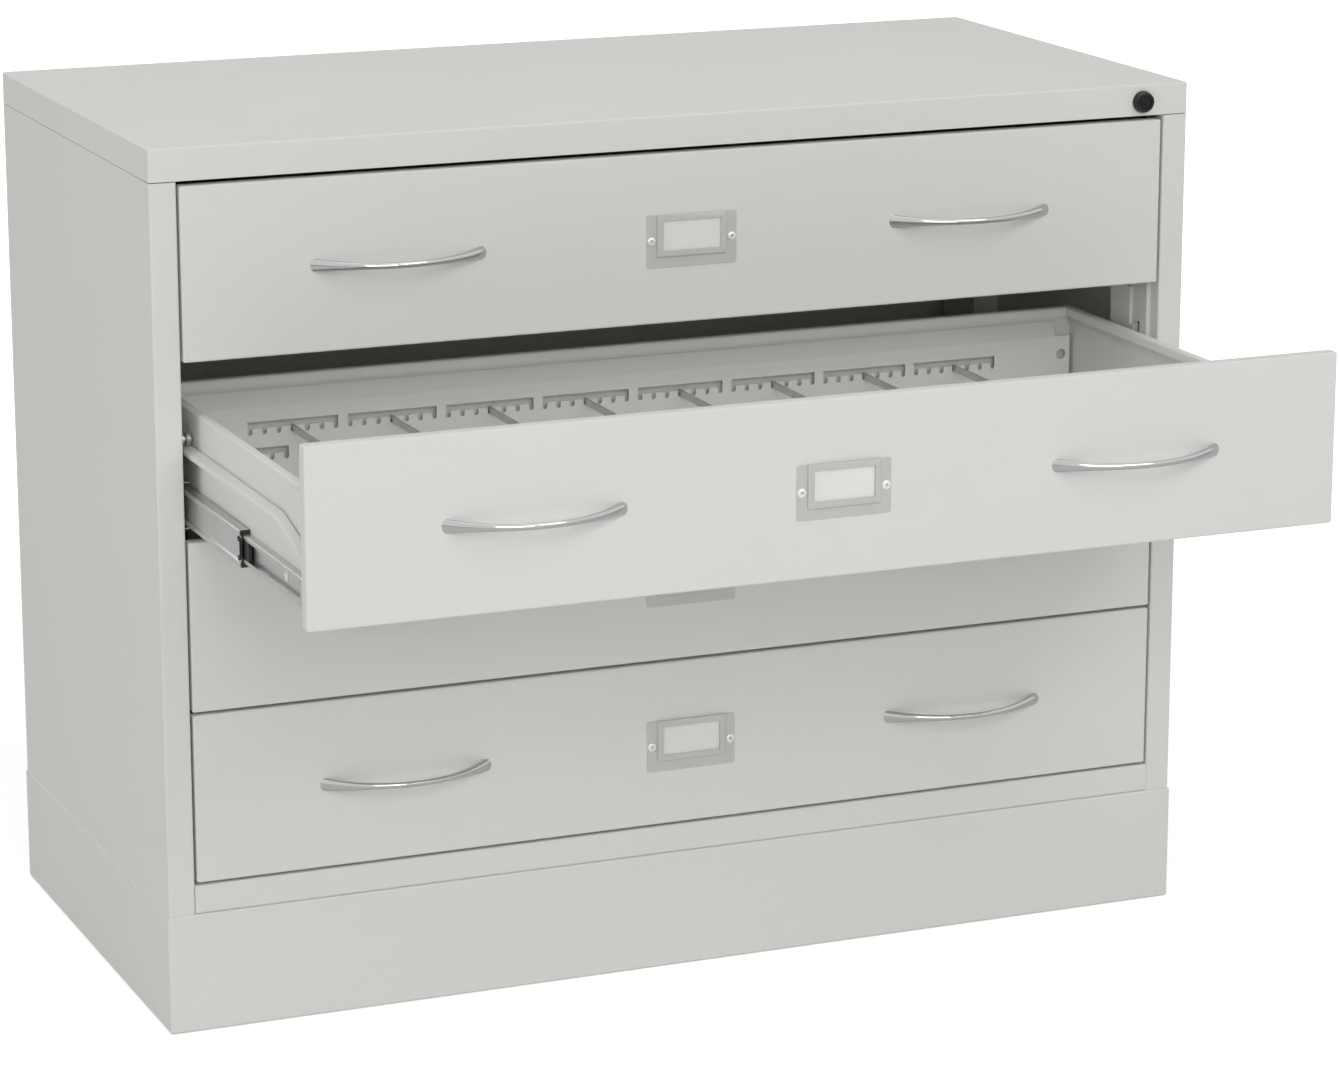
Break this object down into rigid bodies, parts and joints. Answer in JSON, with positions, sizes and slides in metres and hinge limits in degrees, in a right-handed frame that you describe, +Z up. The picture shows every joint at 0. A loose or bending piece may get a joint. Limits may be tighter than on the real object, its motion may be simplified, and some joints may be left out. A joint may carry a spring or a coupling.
{
  "type": "four drawer media storage cabinet",
  "caption": "Low steel media cabinet with wide drawers that have slotted plates and divider bars, bow handles, label holders, a lock and a raised plinth",
  "frame": {"origin": "on the floor, in the middle of the width, and in the middle of the overall depth with the second drawer drawn out as at rest", "axes": "+X to the right along the front, +Y from the front to the back, +Z up"},
  "size_m": [1.07, 0.9, 0.848],
  "materials": {
    "paint": "smooth light grey powder coat",
    "zinc": "bright zinc plating",
    "chrome": "polished chrome",
    "satin": "satin grey metal",
    "black_metal": "glossy black lacquer",
    "black_plastic": "matte black moulding",
    "card": "plain pale card"
  },
  "bodies": {
    "cabinet": {"top_panel": "paint", "left_side_panel": "paint", "right_side_panel": "paint", "back_panel": "paint", "bottom_panel": "paint", "top_rail": "paint", "bottom_rail": "paint", "plinth_base": "paint", "front_posts": "paint", "rear_posts": "paint", "cabinet_slides": "zinc", "interlock_rollers": "zinc", "lock_housing": "black_metal"},
    "lock_turn": {"lock_core": "black_metal"},
    "lock_slide": {"lock_bar": "zinc"},
    "drawer_1": {"drawer_1_front": "paint", "drawer_1_box": "paint", "drawer_1_slotted_plates": "paint", "drawer_1_dividers": "zinc", "drawer_1_handles": "chrome", "drawer_1_label_holder": "satin", "drawer_1_label_card": "card", "drawer_1_fasteners": "zinc", "drawer_1_slide_members": "zinc"},
    "middle_1": {"drawer_1_middle_members": "zinc", "drawer_1_ball_retainers": "black_plastic"},
    "drawer_2": {"drawer_2_front": "paint", "drawer_2_box": "paint", "drawer_2_slotted_plates": "paint", "drawer_2_dividers": "zinc", "drawer_2_handles": "chrome", "drawer_2_label_holder": "satin", "drawer_2_label_card": "card", "drawer_2_fasteners": "zinc", "drawer_2_slide_members": "zinc"},
    "middle_2": {"drawer_2_middle_members": "zinc", "drawer_2_ball_retainers": "black_plastic"},
    "drawer_3": {"drawer_3_front": "paint", "drawer_3_box": "paint", "drawer_3_slotted_plates": "paint", "drawer_3_dividers": "zinc", "drawer_3_handles": "chrome", "drawer_3_label_holder": "satin", "drawer_3_label_card": "card", "drawer_3_fasteners": "zinc", "drawer_3_slide_members": "zinc"},
    "middle_3": {"drawer_3_middle_members": "zinc", "drawer_3_ball_retainers": "black_plastic"},
    "drawer_4": {"drawer_4_front": "paint", "drawer_4_box": "paint", "drawer_4_slotted_plates": "paint", "drawer_4_dividers": "zinc", "drawer_4_handles": "chrome", "drawer_4_label_holder": "satin", "drawer_4_label_card": "card", "drawer_4_fasteners": "zinc", "drawer_4_slide_members": "zinc"},
    "middle_4": {"drawer_4_middle_members": "zinc", "drawer_4_ball_retainers": "black_plastic"}
  },
  "joints": [
    {"name": "drawer_1_open", "type": "slide", "parent": "cabinet", "child": "drawer_1", "axis": [0, -1, 0], "range_m": [0, 0.45]},
    {"name": "middle_1_follow", "type": "slide", "parent": "cabinet", "child": "middle_1", "axis": [0, -1, 0], "range_m": [0, 0.225]},
    {"name": "drawer_2_open", "type": "slide", "parent": "cabinet", "child": "drawer_2", "axis": [0, -1, 0], "range_m": [-0.35, 0.1]},
    {"name": "middle_2_follow", "type": "slide", "parent": "cabinet", "child": "middle_2", "axis": [0, -1, 0], "range_m": [-0.175, 0.05]},
    {"name": "drawer_3_open", "type": "slide", "parent": "cabinet", "child": "drawer_3", "axis": [0, -1, 0], "range_m": [0, 0.45]},
    {"name": "middle_3_follow", "type": "slide", "parent": "cabinet", "child": "middle_3", "axis": [0, -1, 0], "range_m": [0, 0.225]},
    {"name": "drawer_4_open", "type": "slide", "parent": "cabinet", "child": "drawer_4", "axis": [0, -1, 0], "range_m": [0, 0.45]},
    {"name": "middle_4_follow", "type": "slide", "parent": "cabinet", "child": "middle_4", "axis": [0, -1, 0], "range_m": [0, 0.225]},
    {"name": "lock_quarter_turn", "type": "hinge", "parent": "cabinet", "child": "lock_turn", "pos_m": [0.4835, -0.067, 0.8307], "axis": [0, 1, 0], "range_deg": [0, 90]},
    {"name": "lock_bar_drop", "type": "slide", "parent": "cabinet", "child": "lock_slide", "axis": [0, 0, -1], "range_m": [0, 0.008]}
  ],
  "couplings": [
    {"joint": "middle_1_follow", "follows": "drawer_1_open", "ratio": 0.5},
    {"joint": "middle_2_follow", "follows": "drawer_2_open", "ratio": 0.5},
    {"joint": "middle_3_follow", "follows": "drawer_3_open", "ratio": 0.5},
    {"joint": "middle_4_follow", "follows": "drawer_4_open", "ratio": 0.5},
    {"joint": "lock_quarter_turn", "follows": "lock_bar_drop", "rad_per_m": 196.35}
  ]
}
